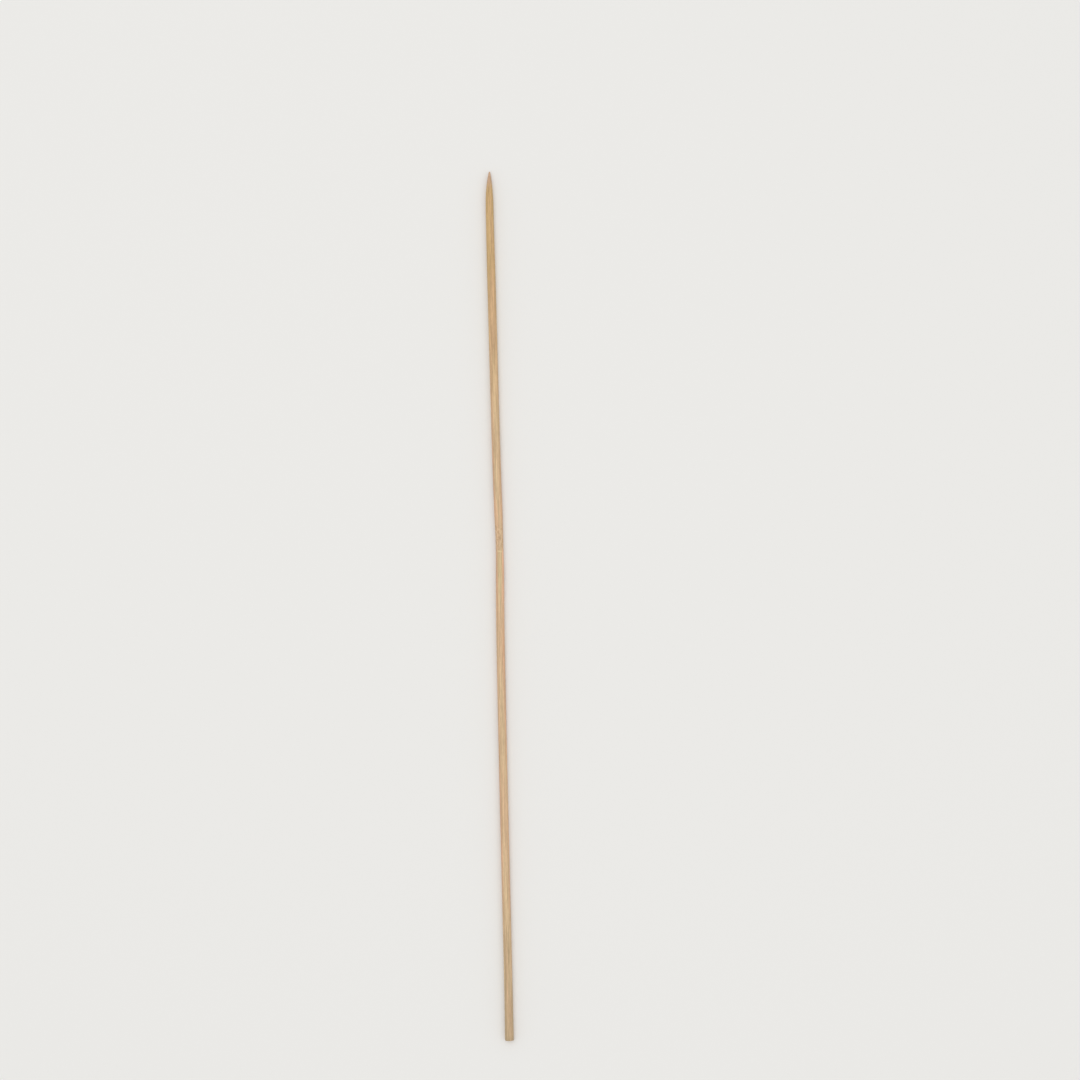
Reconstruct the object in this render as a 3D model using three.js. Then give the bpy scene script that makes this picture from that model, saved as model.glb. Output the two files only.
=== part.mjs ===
import * as THREE from 'three';

// A round bamboo skewer: a split strip of culm run through a round cutter, ground to a point at
// one end and sawn square at the other. It lies on its side along Y, tip towards +Y, with the
// bark side of the strip up and the pith side down. All sizes are in millimetres.

// The stick
const length = 300;
const shaftDiameter = 2.9;
const buttDiameter = 3.05;
const buttSwellLength = 18;
const buttBevel = 0.14;

// The strip's faces, measured from the centre line. Where the cutter reaches past them, the
// stick keeps a narrow flat: a wide one under it and a faint one on top.
const pithFaceDepth = 1.36;
const barkFaceHeight = 1.39;

// The point
const pointLength = 14;
const pointFullness = 2.5;
const neckDiameter = 2.72;
const neckTaperLength = 22;
const tipDiameter = 0.5;
const tipRoundLength = 0.22;
const tipOffCentre = 0.25;

// The knuckle, where the culm had its joint: the stick narrows and bends there, the bark side
// swells, and behind the swelling the leaf sheath has left a thin slanting scar.
const knuckleFromTip = 128.5;
const waistDepth = 0.13;
const waistReach = 13;
const swellingHeight = 0.1;
const swellingReach = 5;
const scarBehindKnuckle = 2.6;
const scarDepth = 0.05;
const scarReach = 0.6;
const scarSlant = 0.25;

// How far the centre line strays sideways from the straight line between the two ends. It climbs
// to the bend at the scar, drops back quickly behind it and then keeps nearly straight.
const neckStray = -0.25;
const foreshaftStray = -0.08;
const foreshaftFromNeck = 46;
const climbStray = 0.12;
const climbAheadOfBend = 31;
const bendStray = 0.52;
const dropStray = 0.14;
const dropBehindBend = 27;
const middleStray = 0;
const rearStray = 0.07;
const rearFromButt = 30;

// Fineness of the loft
const arcSteps = 12;
const shaftStep = 9;
const taperStep = 4.5;
const knuckleStep = 1.1;
const scarStep = 0.25;
const pointRings = 12;
const tipRings = 4;
const ringCrowding = 1.5;
const centreLineSteps = 400;

// The wood
const woodColour = 0xcfae7b;
const woodRoughness = 0.62;

const shaftRadius = shaftDiameter / 2;
const buttRadius = buttDiameter / 2;
const neckRadius = neckDiameter / 2;
const tipRadius = tipDiameter / 2;
const neckFromTip = pointLength + neckTaperLength;
const scarFromTip = knuckleFromTip + scarBehindKnuckle;

const up = Math.PI / 2;
const down = -Math.PI / 2;

// 1 at the middle, falling smoothly to 0 at the reach and beyond
function hump(distance, reach) {
  const share = Math.min(Math.abs(distance) / reach, 1);
  return (1 - share ** 2) ** 2;
}

// The centre line seen from above: sideways stray against the distance from the tip
function makeCentreLine() {
  const drop = scarFromTip + dropBehindBend;
  const rear = length - rearFromButt;
  const points = [
    [0, neckStray + tipOffCentre],
    [pointLength, neckStray],
    [pointLength + foreshaftFromNeck, foreshaftStray],
    [scarFromTip - climbAheadOfBend, climbStray],
    [scarFromTip, bendStray],
    [drop, dropStray],
    [(drop + rear) / 2, middleStray],
    [rear, rearStray],
    [length, 0],
  ];
  const curve = new THREE.SplineCurve(points.map(([along, stray]) => new THREE.Vector2(along, stray)));
  return curve.getPoints(centreLineSteps);
}

const centreLine = makeCentreLine();

function strayAt(fromTip) {
  const next = centreLine.findIndex((point) => point.x >= fromTip);
  if (next <= 0) {
    return centreLine[0].y;
  }
  const before = centreLine[next - 1];
  const after = centreLine[next];
  const share = (fromTip - before.x) / (after.x - before.x);
  return THREE.MathUtils.lerp(before.y, after.y, share);
}

// The ground point is a cone with full, rounded flanks, and its end is worn blunt
function pointRadius(fromTip) {
  const share = Math.min(fromTip / pointLength, 1);
  const flank = tipRadius + (neckRadius - tipRadius) * (1 - (1 - share) ** pointFullness);
  const round = Math.min(fromTip / tipRoundLength, 1);
  return flank * Math.sqrt(1 - (1 - round) ** 2);
}

// The radius that the round cutter leaves, before the strip's flats
function turnedRadius(fromTip) {
  if (fromTip < pointLength) {
    return pointRadius(fromTip);
  }
  const taper = THREE.MathUtils.smoothstep(fromTip, pointLength, neckFromTip);
  const swell = 1 - THREE.MathUtils.smoothstep(length - fromTip, 0, buttSwellLength);
  const waist = waistDepth * hump(fromTip - knuckleFromTip, waistReach);
  const shaft = THREE.MathUtils.lerp(neckRadius, shaftRadius, taper);
  return THREE.MathUtils.lerp(shaft, buttRadius, swell) - waist;
}

// What stands proud of the bark side at the knuckle, fading out round the flanks
function knuckleRelief(fromTip, angle) {
  const barkSide = (1 + Math.sin(angle)) / 2;
  const scarLine = scarFromTip + scarSlant * Math.cos(angle);
  const swelling = swellingHeight * hump(fromTip - knuckleFromTip, swellingReach);
  const scar = scarDepth * hump(fromTip - scarLine, scarReach);
  return barkSide * (swelling - scar);
}

// Distance from the centre line to a flat face, in the direction of the angle
function reachToFace(faceDistance, angle, faceAngle) {
  const towards = Math.cos(angle - faceAngle);
  return towards > 0 ? faceDistance / towards : Infinity;
}

function surfacePoint(fromTip, angle, radius) {
  const pithFace = reachToFace(pithFaceDepth, angle, down);
  const barkFace = reachToFace(barkFaceHeight, angle, up);
  const cut = Math.min(radius, pithFace, barkFace) + knuckleRelief(fromTip, angle);
  return new THREE.Vector3(
    strayAt(fromTip) + cut * Math.cos(angle),
    length / 2 - fromTip,
    pithFaceDepth + cut * Math.sin(angle),
  );
}

// Directions round the section. The edges of both flats are among them, so they stay crisp.
function sectionAngles() {
  const pithHalf = Math.acos(Math.min(pithFaceDepth / shaftRadius, 1));
  const barkHalf = Math.acos(Math.min(barkFaceHeight / shaftRadius, 1));
  const right = Array.from({ length: arcSteps + 1 }, (_, step) => (
    THREE.MathUtils.lerp(down + pithHalf, up - barkHalf, step / arcSteps)
  ));
  const left = right.map((angle) => Math.PI - angle).reverse();
  return [down, ...right, up, ...left];
}

function evenly(from, to, step) {
  const count = Math.max(1, Math.round((to - from) / step));
  return Array.from({ length: count }, (_, index) => from + ((to - from) * index) / count);
}

// Places that crowd together towards the first end, which is left out
function crowded(from, to, count) {
  return Array.from({ length: count }, (_, index) => (
    THREE.MathUtils.lerp(from, to, ((index + 1) / count) ** ringCrowding)
  ));
}

// Distances from the tip at which the stick gets a section, closer where the form changes fast
function sectionPlaces() {
  const tip = crowded(0, tipRoundLength, tipRings);
  const point = crowded(tipRoundLength, pointLength, pointRings);
  const scarBand = scarSlant + scarReach;
  return [
    ...tip,
    ...point,
    ...evenly(pointLength, neckFromTip, taperStep).slice(1),
    ...evenly(neckFromTip, knuckleFromTip - waistReach, shaftStep),
    ...evenly(knuckleFromTip - waistReach, scarFromTip - scarBand, knuckleStep),
    ...evenly(scarFromTip - scarBand, scarFromTip + scarBand, scarStep),
    ...evenly(scarFromTip + scarBand, knuckleFromTip + waistReach, knuckleStep),
    ...evenly(knuckleFromTip + waistReach, length - buttSwellLength, shaftStep),
    ...evenly(length - buttSwellLength, length - buttBevel, taperStep),
    length - buttBevel,
  ];
}

function loftStick() {
  const angles = sectionAngles();
  const rings = sectionPlaces().map((place) => (
    angles.map((angle) => surfacePoint(place, angle, turnedRadius(place)))
  ));
  rings.push(angles.map((angle) => surfacePoint(length, angle, turnedRadius(length) - buttBevel)));

  const tipPole = new THREE.Vector3(strayAt(0), length / 2, pithFaceDepth);
  const buttCentre = new THREE.Vector3(strayAt(length), -length / 2, pithFaceDepth);
  const points = [tipPole, ...rings.flat(), buttCentre];

  const around = angles.length;
  const at = (ring, turn) => 1 + ring * around + (turn % around);
  const faces = [];
  for (let turn = 0; turn < around; turn += 1) {
    faces.push(0, at(0, turn + 1), at(0, turn));
    for (let ring = 0; ring < rings.length - 1; ring += 1) {
      const a = at(ring, turn);
      const b = at(ring, turn + 1);
      const c = at(ring + 1, turn + 1);
      const d = at(ring + 1, turn);
      faces.push(a, b, c);
      faces.push(a, c, d);
    }
    faces.push(points.length - 1, at(rings.length - 1, turn), at(rings.length - 1, turn + 1));
  }

  const geometry = new THREE.BufferGeometry().setFromPoints(points);
  geometry.setIndex(faces);
  return geometry;
}

// The origin is under the middle of the stick's outline, on the surface that it lies on
function layDown(geometry) {
  geometry.computeBoundingBox();
  const middle = geometry.boundingBox.getCenter(new THREE.Vector3());
  geometry.translate(-middle.x, -middle.y, -geometry.boundingBox.min.z);
  geometry.computeVertexNormals();
  return geometry;
}

function makeSkewer() {
  const bamboo = new THREE.MeshStandardMaterial({
    name: 'bamboo',
    color: woodColour,
    roughness: woodRoughness,
    metalness: 0,
  });
  const skewer = new THREE.Mesh(layDown(loftStick()), bamboo);
  skewer.name = 'skewer';
  return skewer;
}

const part = new THREE.Group();
part.add(makeSkewer());

export default part;
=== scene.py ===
import math

import bmesh
import bpy
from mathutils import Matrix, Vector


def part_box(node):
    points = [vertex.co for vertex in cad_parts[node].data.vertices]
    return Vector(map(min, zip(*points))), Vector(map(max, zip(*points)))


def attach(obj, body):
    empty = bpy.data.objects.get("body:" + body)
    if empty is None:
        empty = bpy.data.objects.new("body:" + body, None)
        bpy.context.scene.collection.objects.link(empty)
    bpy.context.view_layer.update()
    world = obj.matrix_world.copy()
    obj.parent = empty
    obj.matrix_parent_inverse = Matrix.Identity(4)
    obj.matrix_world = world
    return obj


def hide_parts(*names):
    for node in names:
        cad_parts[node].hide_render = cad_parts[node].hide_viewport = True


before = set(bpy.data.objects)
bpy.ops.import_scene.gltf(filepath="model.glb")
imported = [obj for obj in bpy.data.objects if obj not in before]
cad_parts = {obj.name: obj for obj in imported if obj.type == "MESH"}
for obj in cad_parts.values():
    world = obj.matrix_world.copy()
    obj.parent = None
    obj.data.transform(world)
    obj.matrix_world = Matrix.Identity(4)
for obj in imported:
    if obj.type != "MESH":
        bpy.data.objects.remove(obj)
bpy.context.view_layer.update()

mm = 0.001
nodeLow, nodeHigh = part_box("skewer")
tipY = nodeHigh.y
stickLength = (nodeHigh.y - nodeLow.y) / mm


# Small helpers for numbers and colours

def linear(rgb):
    made = []
    for part in rgb:
        share = part / 255
        made.append(share / 12.92 if share <= 0.04045 else ((share + 0.055) / 1.055) ** 2.4)
    return (*made, 1)


# 1 at the middle, falling smoothly to 0 at the reach and beyond
def hump(distance, reach):
    share = min(abs(distance) / reach, 1)
    return (1 - share ** 2) ** 2


def smooth(value, low, high):
    share = min(max((value - low) / (high - low), 0), 1)
    return share * share * (3 - 2 * share)


def mix(a, b, share):
    return a + (b - a) * share


def evenly(start, stop, step):
    count = max(1, round(abs(stop - start) / step))
    return [start + (stop - start) * i / count for i in range(count)]


# Small helpers for shader nodes

noiseMiddle = 0.5
noiseRange = (0.3, 0.7)    # where a cloud texture mostly stays


def addNode(tree, kind, **settings):
    node = tree.nodes.new(kind)
    for name, value in settings.items():
        setattr(node, name, value)
    return node


def plug(tree, socket, value):
    if isinstance(value, (tuple, int, float)):
        socket.default_value = value
    else:
        tree.links.new(value, socket)


def calc(tree, operation, first, second=0.0, clamp=False):
    node = addNode(tree, "ShaderNodeMath", operation=operation, use_clamp=clamp)
    plug(tree, node.inputs[0], first)
    plug(tree, node.inputs[1], second)
    return node.outputs[0]


def times(tree, first, second):
    return calc(tree, "MULTIPLY", first, second)


def plus(tree, first, second):
    return calc(tree, "ADD", first, second)


def minus(tree, first, second):
    return calc(tree, "SUBTRACT", first, second)


def splitUp(tree, vector):
    parts = addNode(tree, "ShaderNodeSeparateXYZ")
    tree.links.new(vector, parts.inputs[0])
    return parts.outputs


# A pattern's space, in which one unit is so many millimetres across, along and deep in the strip
def stretch(tree, vector, across, along, deep=None):
    node = addNode(tree, "ShaderNodeVectorMath", operation="MULTIPLY")
    tree.links.new(vector, node.inputs[0])
    unit = (across, along, deep or across)
    node.inputs[1].default_value = [1 / (size * mm) for size in unit]
    return node.outputs[0]


def band(tree, value, low, high, outLow=0.0, outHigh=1.0):
    node = addNode(tree, "ShaderNodeMapRange", interpolation_type="SMOOTHSTEP")
    tree.links.new(value, node.inputs["Value"])
    node.inputs["From Min"].default_value = low
    node.inputs["From Max"].default_value = high
    node.inputs["To Min"].default_value = outLow
    node.inputs["To Max"].default_value = outHigh
    return node.outputs["Result"]


# The same between two places in millimetres
def ramp(tree, value, places, outLow=0.0, outHigh=1.0):
    low, high = places
    return band(tree, value, low * mm, high * mm, outLow, outHigh)


def cloud(tree, vector, detail=2.0, rough=0.5):
    node = addNode(tree, "ShaderNodeTexNoise")
    tree.links.new(vector, node.inputs["Vector"])
    node.inputs["Scale"].default_value = 1
    node.inputs["Detail"].default_value = detail
    node.inputs["Roughness"].default_value = rough
    return node.outputs["Fac"]


def cells(tree, vector, scatter=1.0, flat=False):
    node = addNode(tree, "ShaderNodeTexVoronoi", voronoi_dimensions="2D" if flat else "3D")
    tree.links.new(vector, node.inputs["Vector"])
    node.inputs["Scale"].default_value = 1
    node.inputs["Randomness"].default_value = scatter
    return node.outputs["Distance"]


def blendColour(tree, share, under, over):
    node = addNode(tree, "ShaderNodeMix", data_type="RGBA")
    plug(tree, node.inputs[0], share)
    plug(tree, node.inputs[6], under)
    plug(tree, node.inputs[7], over)
    return node.outputs[2]


def shadeColour(tree, colour, shade):
    node = addNode(tree, "ShaderNodeVectorMath", operation="SCALE")
    tree.links.new(colour, node.inputs[0])
    tree.links.new(shade, node.inputs["Scale"])
    return node.outputs[0]


def roughen(tree, shader, height, strength, depth):
    bump = addNode(tree, "ShaderNodeBump")
    bump.inputs["Strength"].default_value = strength
    bump.inputs["Distance"].default_value = depth * mm
    tree.links.new(height, bump.inputs["Height"])
    tree.links.new(bump.outputs[0], shader.inputs["Normal"])


def newGroup(name):
    group = bpy.data.node_groups.new(name, "ShaderNodeTree")
    group.interface.new_socket("Grain", in_out="INPUT", socket_type="NodeSocketVector")
    return group, addNode(group, "NodeGroupInput").outputs["Grain"]


def putOut(group, masks):
    for name in masks:
        group.interface.new_socket(name, in_out="OUTPUT", socket_type="NodeSocketFloat")
    out = addNode(group, "NodeGroupOutput")
    for name, mask in masks.items():
        group.links.new(mask, out.inputs[name])


def useGroup(tree, group, grain):
    node = addNode(tree, "ShaderNodeGroup", node_tree=group)
    tree.links.new(grain, node.inputs["Grain"])
    return node.outputs


def newMaterial(name, specular):
    material = bpy.data.materials.new(name)
    material.use_nodes = True
    shader = material.node_tree.nodes["Principled BSDF"]
    shader.inputs["Specular IOR Level"].default_value = specular
    return material, shader


# The skewer. Lengths are in millimetres, places along it are distances from its tip, colours are
# as they look in daylight, 0 to 255, and shares say how much of a colour goes on, 0 to 1.
stick = {
    # the cut stick, with the solid's sizes
    "shaftDiameter": 2.9,
    "buttDiameter": 3.05,
    "buttSwellLength": 18,
    "buttBevel": 0.14,
    "pithFaceDepth": 1.36,                 # centre line down to the flat it lies on
    "barkFaceHeight": 1.39,                # centre line up to the faint flat on top
    "pointLength": 14,
    "pointFullness": 2.5,
    "neckDiameter": 2.72,
    "neckTaperLength": 22,
    "tipDiameter": 0.5,
    "tipRoundLength": 0.22,
    "tipOffCentre": 0.25,

    # the knuckle, where the culm had its joint
    "knuckleFromTip": 128.5,
    "waistDepth": 0.13,
    "waistReach": 13,
    "swellingHeight": 0.1,
    "swellingReach": 5,
    "scarBehindKnuckle": 2.6,
    "scarDepth": 0.05,
    "scarReach": 0.6,
    "scarSlant": 0.25,

    # sideways stray of the centre line, plus is right; it bends at the scar
    "neckStray": -0.25,
    "foreshaftStray": -0.08,
    "foreshaftFromNeck": 46,
    "climbStray": 0.12,
    "climbAheadOfBend": 31,
    "bendStray": 0.52,
    "dropStray": 0.14,
    "dropBehindBend": 27,
    "middleStray": 0,
    "rearStray": 0.07,
    "rearFromButt": 30,

    # the cage before it is smoothed
    "sides": 20,
    "shaftStep": 12,
    "knuckleStep": 1.3,
    "buttStep": 5,
    "buttEdge": 2,                         # where the butt's own rings start, from the sawn face
    "bevelRing": 2.5,                      # in bevels from the sawn face
    "neckStep": 5.5,
    "pointRings": (1, 0.86, 0.72, 0.58, 0.45,   # in lengths of the point
                   0.33, 0.23, 0.14, 0.07, 0.03),
    "tipRings": (0.14, 0.03),
    "sawnRings": (0.12, 0.45, 0.45),
    "swellingSearch": 8,                   # how far off the knuckle its rings are looked for
    "swellingStep": 0.4,
    "scarLine": 0.12,                      # half as wide as the line that is pressed in
    "smoothLevels": 3,
    "softAngle": 45,                       # degrees; a sharper edge stays crisp

    # long shallow grooves between the fibres
    "grooveDepth": 0.022,
    "grooveWidth": 0.32,
    "grooveLength": 26,

    # colours from the tip to the butt, and where each of the later ones sets in
    "tipPink": (206, 171, 140),
    "warmTan": (203, 170, 118),
    "paleStraw": (215, 186, 146),
    "dullTan": (193, 168, 131),
    "warmPlaces": (2, 7),
    "strawPlaces": (20, 105),
    "dullPlaces": (245, 292),

    # a greenish core and pink flanks, strongest just behind the knuckle
    "greenStraw": (217, 197, 150),
    "pinkTan": (214, 168, 135),
    "flushPink": (234, 184, 150),
    "freshBehind": (1, 4),                 # sets in, and fades, this far behind the knuckle
    "freshFades": (8, 26),
    "freshShare": 0.5,
    "raggedness": 2.4,                     # how far the streaks shift the core's and flanks' edges
    "coreWidth": (0.3, 0.9),
    "coreShare": 0.7,
    "flankWidth": (0.6, 1.3),
    "flankShare": 0.5,
    "flankPlaces": (60, 110),
    "flankEnds": (240, 285),
    "flushWidth": (0.6, 1.2),
    "flushHeight": (-0.2, 0.7),
    "flushShare": 0.7,

    # the grain: a pattern's size is how wide and how long its marks are, its edge is where they
    # start to fade and where they end, and its shade is how far it darkens and lightens
    "wanderSize": (3, 22),
    "wanderReach": 0.5,
    "strandSize": (0.5, 24),
    "strandEdge": (0.12, 0.36),
    "strandShare": 0.34,
    "streakSize": (0.42, 16),
    "streakShade": (0.82, 1.14),
    "driftSize": (1.5, 34),
    "driftEdge": (0.42, 0.64),
    "driftShare": 0.35,
    "threadSize": (0.07, 7),
    "threadShade": (0.88, 1.1),
    "dashSize": (0.22, 1.9),
    "dashEdge": (0.32, 0.68),
    "dashShade": (0.93, 1.06),
    "sawnEdge": 2.5,
    "sawnEdgeShade": 0.9,

    # marks at the knuckle
    "strandBrown": (150, 112, 72),
    "fleckCream": (228, 200, 164),
    "scarPale": (232, 214, 166),
    "mottleAhead": 2.5,
    "mottleReach": (2.5, 5.5),
    "speckSize": (0.42, 1.3),
    "speckEdge": (0.12, 0.34),
    "patchSize": (0.6, 1.6),
    "darkPatches": (0.52, 0.64),
    "palePatches": (0.47, 0.36),
    "fleckShare": 0.5,
    "mottleShare": 0.42,
    "fraySize": (0.14, 0.6),
    "frayReach": 0.9,
    "scarWidth": (0.45, 0.85),
    "scarHeight": (0.95, 1.2),
    "scarShare": 0.55,

    # the sawn end, with its bundles wide apart near the pith and close together near the bark
    "endGrain": (196, 164, 118),
    "poreBrown": (112, 78, 46),
    "pithSpacing": 0.46,
    "barkSpacing": 0.3,
    "pithPlaces": (0.1, 0.6),              # heights above the centre line where one kind gives way
    "barkPlaces": (0, 0.5),                # to the other
    "zoneGap": 0.4,
    "bundleScatter": 0.7,
    "capEdge": (0.2, 0.42),
    "capShare": 0.4,
    "poreEdge": (0.06, 0.2),
    "poreShare": 0.75,
    "scratchSize": (1.7, 1, 0.07),
    "scratchShade": (0.88, 1.1),

    # how matt it is, and how deep the grain feels
    "streakRoughness": (0.48, 0.62),
    "groundRoughness": 0.16,               # more, on the ground point
    "groundPlaces": (10, 18),
    "endRoughness": 0.8,
    "sideSpecular": 0.35,
    "endSpecular": 0.25,
    "strandDepth": 0.4,                    # against the threads' height of 1
    "sideBump": 0.5,
    "endBump": 0.6,
    "bumpDepth": 0.03,
}

axisZ = stick["pithFaceDepth"] * mm
shaftRadius = stick["shaftDiameter"] / 2
knuckleFromTip = stick["knuckleFromTip"]
scarFromTip = knuckleFromTip + stick["scarBehindKnuckle"]


# A smooth curve through the places where the stick strays, as short straight steps
def centreLine(steps=60):
    point = stick["pointLength"]
    drop = scarFromTip + stick["dropBehindBend"]
    rear = stickLength - stick["rearFromButt"]
    points = [
        (0, stick["neckStray"] + stick["tipOffCentre"]),
        (point, stick["neckStray"]),
        (point + stick["foreshaftFromNeck"], stick["foreshaftStray"]),
        (scarFromTip - stick["climbAheadOfBend"], stick["climbStray"]),
        (scarFromTip, stick["bendStray"]),
        (drop, stick["dropStray"]),
        ((drop + rear) / 2, stick["middleStray"]),
        (rear, stick["rearStray"]),
        (stickLength, 0),
    ]
    padded = [points[0], *points, points[-1]]
    line = []
    for i in range(1, len(padded) - 2):
        for step in range(steps):
            t = step / steps
            spot = []
            for axis in (0, 1):
                p0, p1, p2, p3 = (padded[i + k][axis] for k in (-1, 0, 1, 2))
                pull0, pull1 = (p2 - p0) / 2, (p3 - p1) / 2
                spot.append((2 * p1 - 2 * p2 + pull0 + pull1) * t ** 3
                            + (3 * p2 - 3 * p1 - 2 * pull0 - pull1) * t ** 2 + pull0 * t + p1)
            line.append(tuple(spot))
    line.append(points[-1])
    return line


lineOfCentres = centreLine()


# How far the centre line lies to the right of the straight line between the stick's ends
def offChord(fromTip):
    for before, after in zip(lineOfCentres, lineOfCentres[1:]):
        if fromTip <= after[0]:
            share = (fromTip - before[0]) / (after[0] - before[0])
            return mix(before[1], after[1], share)
    return lineOfCentres[-1][1]


def stickRadius(fromTip):
    point = stick["pointLength"]
    neck = stick["neckDiameter"] / 2
    if fromTip < point:
        tip = stick["tipDiameter"] / 2
        flank = tip + (neck - tip) * (1 - (1 - fromTip / point) ** stick["pointFullness"])
        worn = min(fromTip / stick["tipRoundLength"], 1)
        return flank * math.sqrt(1 - (1 - worn) ** 2)
    shaft = mix(neck, shaftRadius, smooth(fromTip, point, point + stick["neckTaperLength"]))
    swell = 1 - smooth(stickLength - fromTip, 0, stick["buttSwellLength"])
    waist = stick["waistDepth"] * hump(fromTip - knuckleFromTip, stick["waistReach"])
    return mix(shaft, stick["buttDiameter"] / 2, swell) - waist


# The frame's origin is under the middle of the outline, so the line between the ends is beside it
def chordSide():
    places = range(0, int(stickLength) + 1)
    left = min(offChord(place) - stickRadius(place) for place in places)
    right = max(offChord(place) + stickRadius(place) for place in places)
    return (nodeLow.x + nodeHigh.x) / 2 / mm - (left + right) / 2


chordX = chordSide()


def stray(fromTip):
    return chordX + offChord(fromTip)


# Where the cage gets a ring, from the butt to the tip
def cagePlaces():
    point = stick["pointLength"]
    neckRoot = point + stick["neckTaperLength"]
    ahead = knuckleFromTip - stick["waistReach"]
    behind = knuckleFromTip + stick["waistReach"]
    swellStart = stickLength - stick["buttSwellLength"]
    bevel = stick["buttBevel"]
    places = [stickLength - bevel, stickLength - stick["bevelRing"] * bevel]
    places += evenly(stickLength - stick["buttEdge"], swellStart, stick["buttStep"])
    places += evenly(swellStart, behind, stick["shaftStep"])
    places += evenly(behind, ahead, stick["knuckleStep"])
    places += evenly(ahead, neckRoot, stick["shaftStep"])
    places += evenly(neckRoot, point, stick["neckStep"])
    places += [point * share for share in stick["pointRings"]]
    places += stick["tipRings"]
    return places


# Selects, in edit mode, the corners that pass the test, and the faces between them
def selectWhere(piece, test):
    cage = bmesh.from_edit_mesh(piece.data)
    for corner in cage.verts:
        corner.select = test(corner.co)
    cage.select_flush_mode()
    bmesh.update_edit_mesh(piece.data)


# The bark side swells at the knuckle
def swellKnuckle(piece):
    search, step = stick["swellingSearch"], stick["swellingStep"]
    for nearby in evenly(knuckleFromTip + search, knuckleFromTip - search, step):
        rise = stick["swellingHeight"] * hump(nearby - knuckleFromTip, stick["swellingReach"])
        ringY = tipY - nearby * mm
        if rise > 0:
            selectWhere(piece, lambda co: abs(co.y - ringY) < step / 2 * mm and co.z > axisZ)
            taller = 1 + rise / stickRadius(nearby)
            bpy.ops.transform.resize(value=(1, 1, taller), center_override=(0, ringY, axisZ))


def modelStick():
    bpy.ops.object.select_all(action="DESELECT")
    sides = stick["sides"]
    shrink = 3 / (2 + math.cos(2 * math.pi / sides))   # smoothing pulls a ring in by this much
    place = stickLength
    radius = (stickRadius(place) - stick["buttBevel"]) * shrink
    bpy.ops.mesh.primitive_circle_add(
        vertices=sides, radius=radius * mm, fill_type="NGON",
        location=(stray(place) * mm, tipY - place * mm, axisZ), rotation=(math.radians(-90), 0, 0))
    piece = bpy.context.object
    piece.name = "bamboo_skewer"
    bpy.ops.object.transform_apply(location=True, rotation=True, scale=True)

    # pull the sawn end out into the whole stick, one ring at a time, tapering as it goes
    bpy.ops.object.mode_set(mode="EDIT")
    bpy.ops.mesh.select_mode(type="VERT")
    bpy.ops.mesh.select_all(action="SELECT")
    for nextPlace in cagePlaces():
        sideways = stray(nextPlace) - stray(place)
        bpy.ops.mesh.extrude_region_move(
            TRANSFORM_OT_translate={"value": (sideways * mm, (place - nextPlace) * mm, 0)})
        nextRadius = stickRadius(nextPlace) * shrink
        middle = (stray(nextPlace) * mm, tipY - nextPlace * mm, axisZ)
        size = nextRadius / radius
        bpy.ops.transform.resize(value=(size, 1, size), center_override=middle)
        place, radius = nextPlace, nextRadius
    bpy.ops.mesh.inset(thickness=radius * mm / 2)

    # rings on the sawn face
    selectWhere(piece, lambda co: co.y < nodeLow.y + stick["buttBevel"] * mm / 2)
    for thickness in stick["sawnRings"]:
        bpy.ops.mesh.inset(thickness=thickness * mm)

    swellKnuckle(piece)
    bpy.ops.mesh.select_all(action="SELECT")
    bpy.ops.mesh.normals_make_consistent(inside=False)
    bpy.ops.object.mode_set(mode="OBJECT")
    return piece


def smoothStick(piece):
    rounding = piece.modifiers.new("rounding", "SUBSURF")
    rounding.levels = stick["smoothLevels"]
    rounding.render_levels = stick["smoothLevels"]
    bpy.ops.object.modifier_apply(modifier="rounding")


# The strip was a little thinner than the cutter, so both its faces leave a flat
def pressFlats(piece):
    top = (stick["pithFaceDepth"] + stick["barkFaceHeight"]) * mm
    clear = stick["swellingReach"] * mm
    knuckleY = tipY - knuckleFromTip * mm
    bpy.ops.object.mode_set(mode="EDIT")
    bpy.ops.mesh.select_mode(type="VERT")
    selectWhere(piece, lambda co: co.z < 0)
    bpy.ops.transform.resize(value=(1, 1, 0), center_override=(0, 0, 0))
    selectWhere(piece, lambda co: co.z > top and abs(co.y - knuckleY) > clear)
    bpy.ops.transform.resize(value=(1, 1, 0), center_override=(0, 0, top))
    bpy.ops.object.mode_set(mode="OBJECT")


# The leaf sheath's scar, a thin slanting line across the bark side behind the knuckle
def cutScar(piece):
    barkZ = axisZ + shaftRadius * mm / 2

    def offScar(co):
        line = scarFromTip * mm + stick["scarSlant"] * co.x / shaftRadius
        return tipY - co.y - line

    bpy.ops.object.mode_set(mode="EDIT")
    selectWhere(piece, lambda co: abs(offScar(co)) < stick["scarLine"] * mm and co.z > barkZ)
    bpy.ops.transform.translate(
        value=(0, 0, -stick["scarDepth"] * mm), use_proportional_edit=True,
        proportional_edit_falloff="SMOOTH", proportional_size=stick["scarReach"] * mm)
    bpy.ops.object.mode_set(mode="OBJECT")


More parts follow.
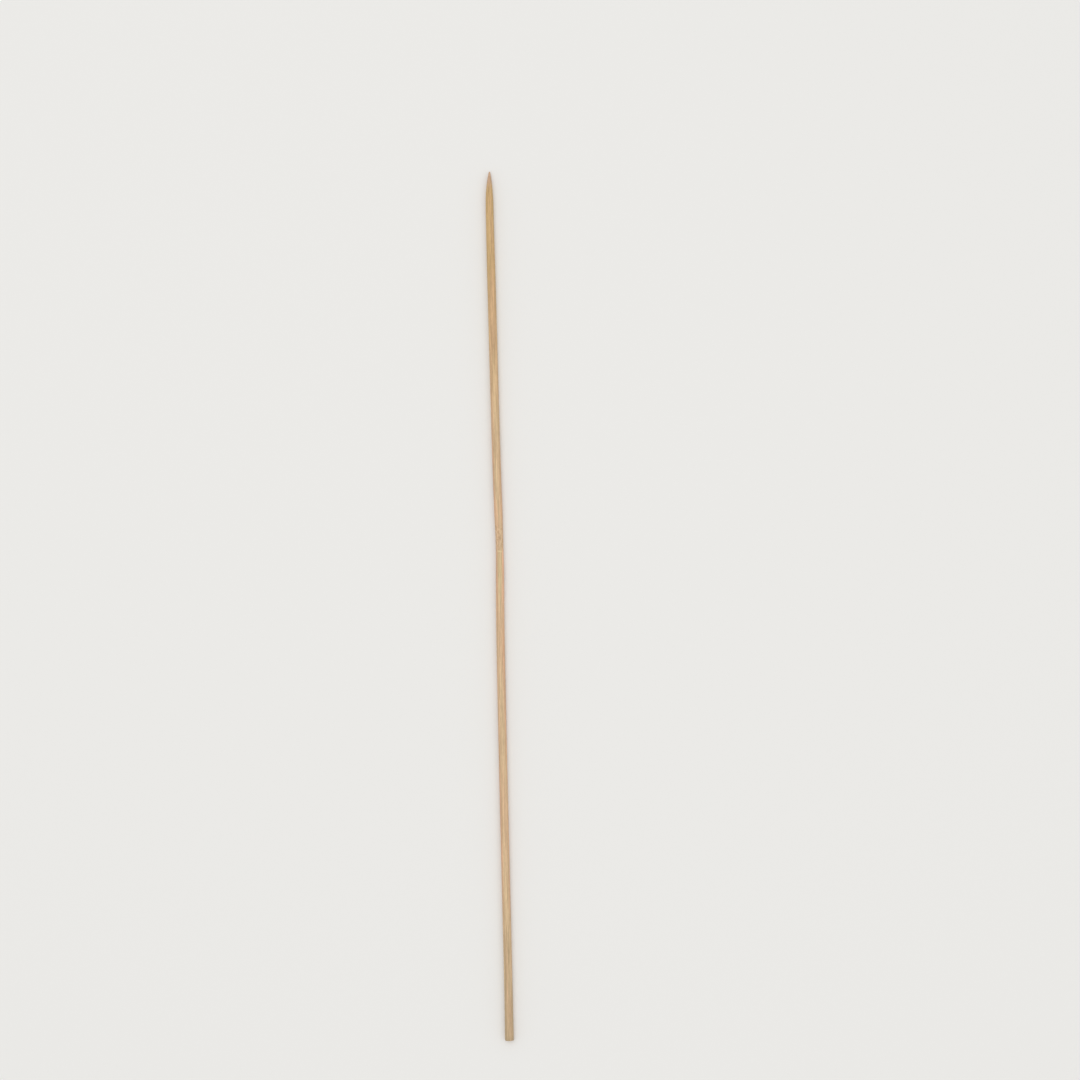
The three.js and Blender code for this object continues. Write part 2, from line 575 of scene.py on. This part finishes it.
# Long shallow grooves between the fibres, from a cloud pattern that is drawn out along the stick
def raiseFibres(piece):
    width, length = stick["grooveWidth"] * mm, stick["grooveLength"] * mm
    bpy.ops.object.empty_add(location=(0, 0, 0))
    grainFrame = bpy.context.object
    grainFrame.scale = (width, length, width)
    strands = bpy.data.textures.new("strands", "CLOUDS")
    strands.noise_scale = 1
    strands.noise_depth = 2
    bpy.ops.object.select_all(action="DESELECT")
    piece.select_set(True)
    bpy.context.view_layer.objects.active = piece
    grooves = piece.modifiers.new("grooves", "DISPLACE")
    grooves.texture = strands
    grooves.texture_coords = "OBJECT"
    grooves.texture_coords_object = grainFrame
    grooves.mid_level = 1
    grooves.strength = stick["grooveDepth"] * mm
    bpy.ops.object.modifier_apply(modifier="grooves")
    bpy.data.objects.remove(grainFrame)


# Where each point of the surface lay in the straight strip, for the wood's own pattern
def keepGrain(piece):
    grain = piece.data.attributes.new("grain", "FLOAT_VECTOR", "POINT")
    spots = []
    for corner in piece.data.vertices:
        fromTip = (tipY - corner.co.y) / mm
        spots += [corner.co.x - stray(fromTip) * mm, fromTip * mm, corner.co.z - axisZ]
    grain.data.foreach_set("vector", spots)


def readGrain(tree):
    return addNode(tree, "ShaderNodeAttribute", attribute_name="grain").outputs["Vector"]


# Vascular strands run the length of the strip: lines on its side, dots on its sawn end,
# long slivers where the grinding wheel has cut through them on the point
def strandGroup():
    group, grain = newGroup("strandField")
    wander = cloud(group, stretch(group, grain, *stick["wanderSize"]), detail=1)
    nudge = addNode(group, "ShaderNodeCombineXYZ")
    sideways = times(group, minus(group, wander, noiseMiddle), stick["wanderReach"] * mm)
    group.links.new(sideways, nudge.inputs[0])
    bend = addNode(group, "ShaderNodeVectorMath", operation="ADD")
    group.links.new(grain, bend.inputs[0])
    group.links.new(nudge.outputs[0], bend.inputs[1])
    bent = bend.outputs[0]
    fromStrand = cells(group, stretch(group, bent, *stick["strandSize"]))
    putOut(group, {
        "Strand": band(group, fromStrand, *stick["strandEdge"], 1, 0),
        "Streak": cloud(group, stretch(group, bent, *stick["streakSize"]), detail=3, rough=0.6),
        "Drift": cloud(group, stretch(group, grain, *stick["driftSize"]), detail=3),
        "Thread": cloud(group, stretch(group, bent, *stick["threadSize"]), detail=3, rough=0.65),
        "Dash": cloud(group, stretch(group, grain, *stick["dashSize"]), detail=2, rough=0.6),
    })
    return group


# Round the knuckle the fibres part, which shows as a mottled patch with a pale scar behind it
def knuckleGroup():
    group, grain = newGroup("knuckleMarks")
    right, fromTip, up = splitUp(group, grain)
    mottleMiddle = (knuckleFromTip - stick["mottleAhead"]) * mm
    away = calc(group, "ABSOLUTE", minus(group, fromTip, mottleMiddle))
    near = ramp(group, away, stick["mottleReach"], 1, 0)
    fromSpeck = cells(group, stretch(group, grain, *stick["speckSize"]))
    specks = band(group, fromSpeck, *stick["speckEdge"], 1, 0)
    patchy = cloud(group, stretch(group, grain, *stick["patchSize"]))
    dark = band(group, patchy, *stick["darkPatches"])
    pale = band(group, patchy, *stick["palePatches"])

    slant = times(group, right, stick["scarSlant"] / shaftRadius)
    fromScar = minus(group, minus(group, fromTip, scarFromTip * mm), slant)
    fray = cloud(group, stretch(group, grain, *stick["fraySize"]))
    frayed = times(group, fray, stick["frayReach"] * mm)
    offScar = plus(group, calc(group, "ABSOLUTE", fromScar), frayed)
    onScar = ramp(group, offScar, stick["scarWidth"], 1, 0)
    putOut(group, {
        "Mottle": times(group, calc(group, "MAXIMUM", specks, dark), near),
        "Fleck": times(group, pale, near),
        "Scar": times(group, onScar, ramp(group, up, stick["scarHeight"])),
    })
    return group


# Lays one of the stick's colours over another where the mask is
def paint(tree, colour, mask, name, share):
    return blendColour(tree, times(tree, mask, share), colour, linear(stick[name]))


# Broad pinkish patches
def driftMask(tree, field):
    return band(tree, field["Drift"], *stick["driftEdge"], 0, stick["driftShare"])


# Pinkish at the very tip, warm along the point, palest past the knuckle, duller towards the butt
def colourAlong(tree, fromTip):
    warm = ramp(tree, fromTip, stick["warmPlaces"])
    straw = ramp(tree, fromTip, stick["strawPlaces"])
    dull = ramp(tree, fromTip, stick["dullPlaces"])
    colour = blendColour(tree, warm, linear(stick["tipPink"]), linear(stick["warmTan"]))
    colour = blendColour(tree, straw, colour, linear(stick["paleStraw"]))
    return blendColour(tree, dull, colour, linear(stick["dullTan"]))


# Behind the knuckle the core is greener and both flanks are pink, which fades out along the shaft
def colourAcross(tree, colour, field, parts):
    right, fromTip, up = parts
    behind = [knuckleFromTip + place for place in stick["freshBehind"]]
    fades = [knuckleFromTip + place for place in stick["freshFades"]]
    fresh = times(tree, ramp(tree, fromTip, behind), ramp(tree, fromTip, fades, 1, 0))
    ragged = times(tree, minus(tree, field["Streak"], noiseMiddle), stick["raggedness"] * mm)
    fromMiddle = plus(tree, calc(tree, "ABSOLUTE", right), ragged)

    core = ramp(tree, fromMiddle, stick["coreWidth"], stick["coreShare"], 0)
    colour = blendColour(tree, times(tree, core, fresh), colour, linear(stick["greenStraw"]))

    flanks = ramp(tree, fromMiddle, stick["flankWidth"], 0, stick["flankShare"])
    shaft = times(tree, ramp(tree, fromTip, stick["flankPlaces"]),
                  ramp(tree, fromTip, stick["flankEnds"], 1, 0))
    strength = plus(tree, shaft, times(tree, fresh, stick["freshShare"]))
    pink = calc(tree, "ADD", times(tree, flanks, strength), driftMask(tree, field), clamp=True)
    colour = blendColour(tree, pink, colour, linear(stick["pinkTan"]))

    rightFlank = ramp(tree, plus(tree, right, ragged), stick["flushWidth"], 0, stick["flushShare"])
    upperFlank = times(tree, rightFlank, ramp(tree, up, stick["flushHeight"]))
    return blendColour(tree, times(tree, upperFlank, fresh), colour, linear(stick["flushPink"]))


# Light and dark fibres, and a slightly darker edge at the sawn end
def shadeOfGrain(tree, field, fromTip):
    streak = band(tree, field["Streak"], *noiseRange, *stick["streakShade"])
    thread = band(tree, field["Thread"], *noiseRange, *stick["threadShade"])
    dash = band(tree, field["Dash"], *stick["dashEdge"], *stick["dashShade"])
    edge = (stickLength - stick["sawnEdge"], stickLength)
    sawnEdge = ramp(tree, fromTip, edge, 1, stick["sawnEdgeShade"])
    return times(tree, times(tree, streak, thread), times(tree, dash, sawnEdge))


def sideMaterial(strandField, knuckleMarks):
    material, shader = newMaterial("cutBamboo", stick["sideSpecular"])
    tree = material.node_tree
    grain = readGrain(tree)
    field = useGroup(tree, strandField, grain)
    marks = useGroup(tree, knuckleMarks, grain)
    parts = splitUp(tree, grain)
    fromTip = parts[1]

    colour = colourAlong(tree, fromTip)
    colour = colourAcross(tree, colour, field, parts)
    colour = paint(tree, colour, field["Strand"], "strandBrown", stick["strandShare"])
    colour = shadeColour(tree, colour, shadeOfGrain(tree, field, fromTip))
    colour = paint(tree, colour, marks["Fleck"], "fleckCream", stick["fleckShare"])
    colour = paint(tree, colour, marks["Mottle"], "strandBrown", stick["mottleShare"])
    colour = paint(tree, colour, marks["Scar"], "scarPale", stick["scarShare"])
    tree.links.new(colour, shader.inputs["Base Color"])

    # the ground point is matt, the tumbled shaft has a low sheen
    ground = ramp(tree, fromTip, stick["groundPlaces"], stick["groundRoughness"], 0)
    sheen = band(tree, field["Streak"], *noiseRange, *stick["streakRoughness"])
    tree.links.new(plus(tree, sheen, ground), shader.inputs["Roughness"])
    height = minus(tree, field["Thread"], times(tree, field["Strand"], stick["strandDepth"]))
    roughen(tree, shader, height, stick["sideBump"], stick["bumpDepth"])
    return material


# Distance from the nearest bundle on the sawn end, in shares of their spacing
def fromBundle(tree, right, up, spacing):
    flat = addNode(tree, "ShaderNodeCombineXYZ")
    tree.links.new(calc(tree, "DIVIDE", right, spacing * mm), flat.inputs[0])
    tree.links.new(calc(tree, "DIVIDE", up, spacing * mm), flat.inputs[1])
    return cells(tree, flat.outputs[0], scatter=stick["bundleScatter"], flat=True)


def endMaterial(strandField):
    material, shader = newMaterial("sawnBamboo", stick["endSpecular"])
    tree = material.node_tree
    grain = readGrain(tree)
    field = useGroup(tree, strandField, grain)
    parts = splitUp(tree, grain)
    right, up = parts[0], parts[2]

    apart = fromBundle(tree, right, up, stick["pithSpacing"])
    close = fromBundle(tree, right, up, stick["barkSpacing"])
    gap = stick["zoneGap"]
    onlyPith = plus(tree, apart, ramp(tree, up, stick["pithPlaces"], 0, gap))
    onlyBark = plus(tree, close, ramp(tree, up, stick["barkPlaces"], gap, 0))
    nearest = calc(tree, "MINIMUM", onlyPith, onlyBark)
    caps = band(tree, nearest, *stick["capEdge"], stick["capShare"], 0)
    pores = band(tree, nearest, *stick["poreEdge"], stick["poreShare"], 0)
    drift = driftMask(tree, field)
    colour = blendColour(tree, drift, linear(stick["endGrain"]), linear(stick["pinkTan"]))
    colour = blendColour(tree, caps, colour, linear(stick["strandBrown"]))
    colour = blendColour(tree, pores, colour, linear(stick["poreBrown"]))

    # scratches that the saw left from side to side
    scratches = cloud(tree, stretch(tree, grain, *stick["scratchSize"]), detail=2, rough=0.6)
    shade = band(tree, scratches, *noiseRange, *stick["scratchShade"])
    tree.links.new(shadeColour(tree, colour, shade), shader.inputs["Base Color"])
    shader.inputs["Roughness"].default_value = stick["endRoughness"]
    roughen(tree, shader, minus(tree, scratches, pores), stick["endBump"], stick["bumpDepth"])
    return material


# The sawn face gets the end grain, and all the rest the long grain
def dressStick(piece, faceDepth=0.05, facing=0.9):
    strandField = strandGroup()
    piece.data.materials.append(sideMaterial(strandField, knuckleGroup()))
    piece.data.materials.append(endMaterial(strandField))
    sawnY = nodeLow.y + faceDepth * mm
    for face in piece.data.polygons:
        isSawn = face.center.y < sawnY and face.normal.y < -facing
        face.material_index = 1 if isSawn else 0


# The floor, in metres, a hair under the stick
floor = {
    "size": 6,
    "drop": 0.00002,
    "colour": (238, 237, 234),
    "roughness": 0.9,
    "specular": 0.2,
}


def makeFloor():
    bpy.ops.object.select_all(action="DESELECT")
    bpy.ops.mesh.primitive_plane_add(size=floor["size"], location=(0, 0, -floor["drop"]))
    plane = bpy.context.object
    plane.name = "floor"
    material, shader = newMaterial("paleFloor", floor["specular"])
    shader.inputs["Base Color"].default_value = linear(floor["colour"])
    shader.inputs["Roughness"].default_value = floor["roughness"]
    plane.data.materials.append(material)


# The light: each lamp's place and width in metres and its power in watts, and the daylight
light = {
    "overhead": ((-0.35, 0.3, 1.6), 1.3, 6),
    "fill": ((0.8, -0.3, 1.4), 1.3, 2.5),
    "daylight": 0.72,
}


def addLamp(name, place, width, power):
    disk = bpy.data.lights.new(name, "AREA")
    disk.shape = "DISK"
    disk.size = width
    disk.energy = power
    lamp = bpy.data.objects.new(name, disk)
    bpy.context.collection.objects.link(lamp)
    lamp.location = place
    aim = -lamp.location
    lamp.rotation_euler = aim.to_track_quat("-Z", "Y").to_euler()


def lightRoom():
    addLamp("overhead", *light["overhead"])
    addLamp("fill", *light["fill"])
    room = bpy.data.worlds.new("room")
    room.use_nodes = True
    background = room.node_tree.nodes["Background"]
    background.inputs["Color"].default_value = (1, 1, 1, 1)
    background.inputs["Strength"].default_value = light["daylight"]
    bpy.context.scene.world = room
    bpy.context.scene.view_settings.view_transform = "Standard"


# The picture: where the stick's two ends fall in a square frame, in pixels, and how high up
# the camera hangs, in metres
picture = {
    "side": 1080,
    "tipX": 489.5,
    "tipY": 172,
    "buttX": 509.5,
    "buttY": 1040,
    "cameraHeight": 1.3,
    "sensorWidth": 36,
}


# Straight down, with the stick's ends where the picture has them
def placeCamera():
    height = picture["cameraHeight"]
    dx = picture["buttX"] - picture["tipX"]
    dy = picture["buttY"] - picture["tipY"]
    pixel = stickLength * mm / math.hypot(dx, dy)
    lean = math.atan2(dx, dy)
    middleX = (picture["tipX"] + picture["buttX"]) / 2 - picture["side"] / 2
    middleY = picture["side"] / 2 - (picture["tipY"] + picture["buttY"]) / 2
    camera = bpy.data.objects.new("camera", bpy.data.cameras.new("camera"))
    bpy.context.collection.objects.link(camera)
    bpy.context.scene.camera = camera
    camera.data.sensor_width = picture["sensorWidth"]
    camera.data.lens = picture["sensorWidth"] * height / (picture["side"] * pixel)
    # the frame is turned by the lean, so its middle is turned back into the stick's own axes
    offX = -middleX * pixel
    offY = -middleY * pixel
    camera.location = (chordX * mm + offX * math.cos(lean) + offY * math.sin(lean),
                       offY * math.cos(lean) - offX * math.sin(lean), height)
    camera.rotation_euler = (0, 0, -lean)


print("modelling the stick")
skewer = modelStick()
smoothStick(skewer)
pressFlats(skewer)
cutScar(skewer)
raiseFibres(skewer)
bpy.ops.object.shade_smooth_by_angle(angle=math.radians(stick["softAngle"]))
keepGrain(skewer)
print("faces:", len(skewer.data.polygons))

print("wood")
dressStick(skewer)
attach(skewer, "root")
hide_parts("skewer")

print("floor, lamps and camera")
makeFloor()
lightRoom()
placeCamera()
